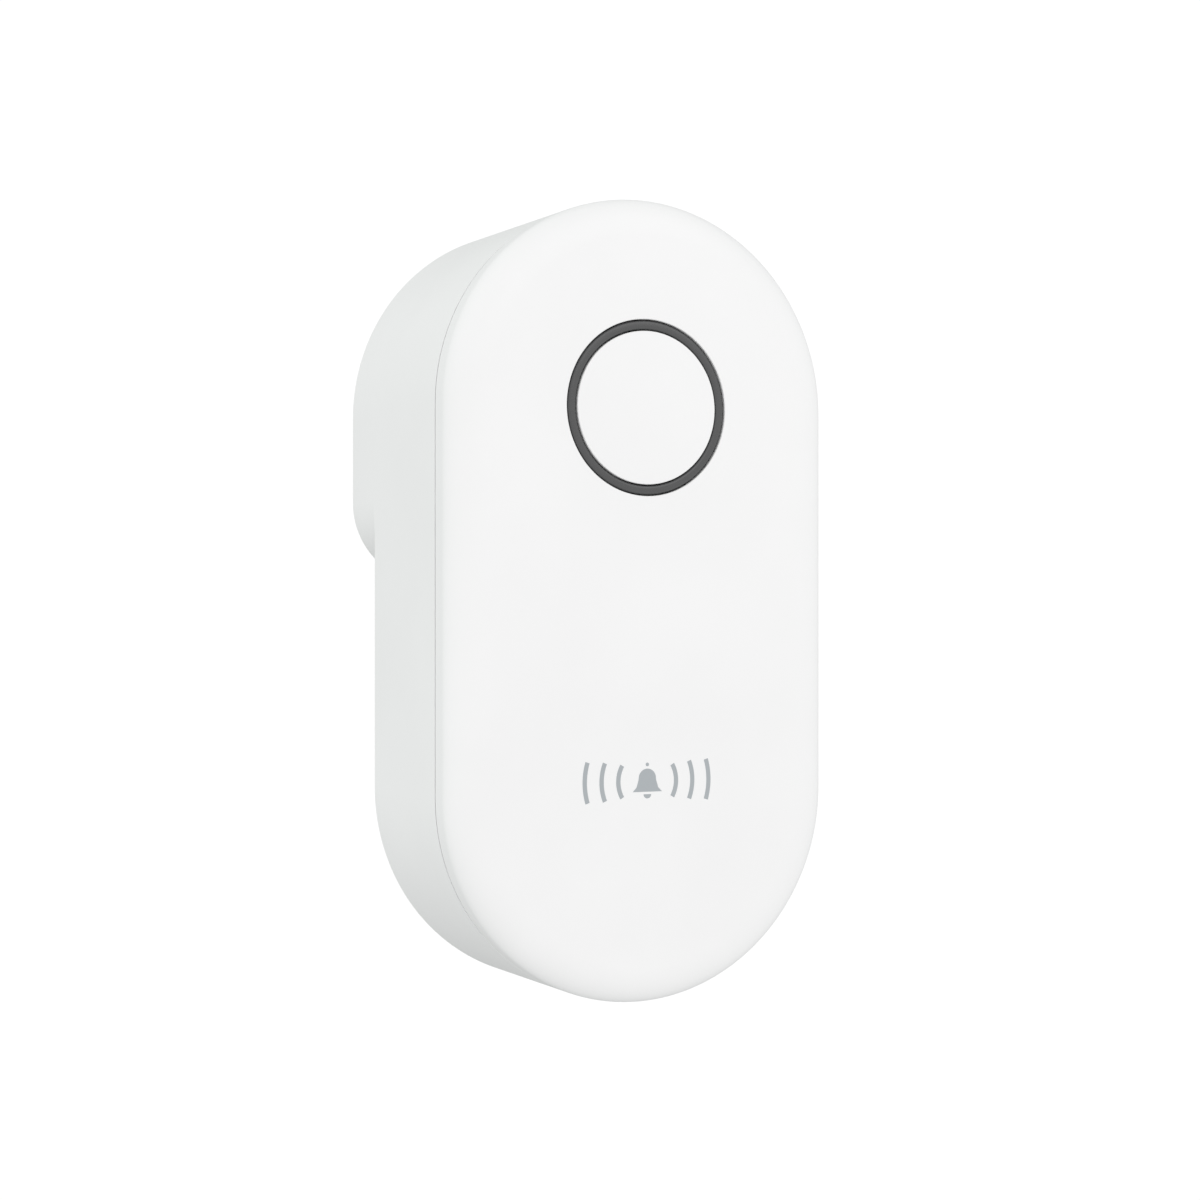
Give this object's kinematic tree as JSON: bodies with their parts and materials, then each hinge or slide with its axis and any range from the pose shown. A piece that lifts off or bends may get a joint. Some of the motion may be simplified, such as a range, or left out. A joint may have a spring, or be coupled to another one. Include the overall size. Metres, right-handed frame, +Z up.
{
  "type": "plug-in doorbell chime",
  "caption": "Plug-in indoor chime of a video doorbell: white pill-shaped body with a round button in a dark light ring, rear plug block, flat blades and a rear grille over a sprung speaker.",
  "frame": {"origin": "on the rear face of the plug block, midway between the two blades and level with the button's centre", "axes": "+Y into the wall along the blades, +Z up along the body's length, +X to the right of a person facing the cover"},
  "size_m": [0.0548, 0.0534, 0.105],
  "materials": {
    "cover_plastic": "satin",
    "button_plastic": "satin",
    "housing_plastic": "satin",
    "ring_lens": "satin",
    "shroud_plastic": "matte",
    "switch_plastic": "matte",
    "plunger_plastic": "matte",
    "switch_steel": "satin",
    "main_laminate": "satin",
    "power_laminate": "matte",
    "screw_steel": "satin",
    "shield_tin": "satin",
    "chip_resin": "matte",
    "can_sleeve": "gloss",
    "connector_plastic": "matte",
    "socket_plastic": "matte",
    "pin_metal": "polished",
    "red_insulation": "satin",
    "black_insulation": "satin",
    "ferrite": "matte",
    "bobbin_plastic": "matte",
    "winding_tape": "satin",
    "coil_copper": "satin",
    "resistor_coat": "matte",
    "varistor_coat": "satin",
    "capacitor_coat": "satin",
    "insulation_film": "matte",
    "blade_nickel": "polished",
    "carrier_plastic": "matte",
    "speaker_steel": "satin",
    "magnet_plating": "satin",
    "terminal_laminate": "matte",
    "cone_paper": "matte",
    "surround_rubber": "matte",
    "gasket_foam": "matte",
    "mesh_cloth": "matte",
    "lamp_resin": "satin"
  },
  "bodies": {
    "housing": {"front_cover": "cover_plastic", "rear_housing": "housing_plastic", "light_ring": "ring_lens", "light_shroud": "shroud_plastic", "switch_body": "switch_plastic", "switch_plate": "switch_steel", "switch_dome": "switch_steel", "main_board": "main_laminate", "power_board": "power_laminate", "housing_screws": "screw_steel", "main_board_screws": "screw_steel", "power_board_screws": "screw_steel", "speaker_screws": "screw_steel", "radio_shield": "shield_tin", "antenna": "shield_tin", "radio_chip": "chip_resin", "memory_chip": "chip_resin", "amplifier_chip": "chip_resin", "power_controller_chip": "chip_resin", "bridge_rectifier": "chip_resin", "bulk_capacitor_1": "can_sleeve", "bulk_capacitor_2": "can_sleeve", "output_capacitor": "can_sleeve", "reservoir_capacitor": "can_sleeve", "speaker_header": "connector_plastic", "speaker_plug": "connector_plastic", "link_socket": "socket_plastic", "link_insulator": "socket_plastic", "link_pins": "pin_metal", "speaker_wire_red": "red_insulation", "speaker_wire_black": "black_insulation", "transformer_core": "ferrite", "line_choke": "ferrite", "transformer_bobbin": "bobbin_plastic", "transformer_winding": "winding_tape", "fuse_resistor": "resistor_coat", "varistor": "varistor_coat", "safety_capacitor": "capacitor_coat", "insulation_sheet": "insulation_film", "plug_blade_left": "blade_nickel", "plug_blade_right": "blade_nickel", "blade_carrier": "carrier_plastic", "speaker_frame": "speaker_steel", "speaker_yoke": "speaker_steel", "speaker_pole_plate": "speaker_steel", "speaker_magnet": "magnet_plating", "speaker_terminal": "terminal_laminate", "speaker_surround": "surround_rubber", "speaker_gasket": "gasket_foam", "grille_mesh": "mesh_cloth", "ring_light_1": "lamp_resin", "ring_light_2": "lamp_resin", "ring_light_3": "lamp_resin", "ring_light_4": "lamp_resin", "ring_light_5": "lamp_resin", "ring_light_6": "lamp_resin"},
    "button": {"button_cap": "button_plastic"},
    "plunger": {"switch_plunger": "plunger_plastic"},
    "diaphragm": {"speaker_cone": "cone_paper", "voice_coil": "coil_copper"}
  },
  "joints": [
    {"name": "button_press", "type": "slide", "parent": "housing", "child": "button", "axis": [0, 1, 0], "range_m": [0, 0.0003], "stiffness_N_per_m": 3000},
    {"name": "plunger_press", "type": "slide", "parent": "housing", "child": "plunger", "axis": [0, 1, 0], "range_m": [0, 0.0003], "deforming": ["switch_dome"]},
    {"name": "diaphragm_stroke", "type": "slide", "parent": "housing", "child": "diaphragm", "axis": [0, 1, 0], "range_m": [-0.0004, 0.0004], "stiffness_N_per_m": 1000, "deforming": ["speaker_surround"]}
  ],
  "couplings": [
    {"joint": "plunger_press", "follows": "button_press", "ratio": 1}
  ]
}
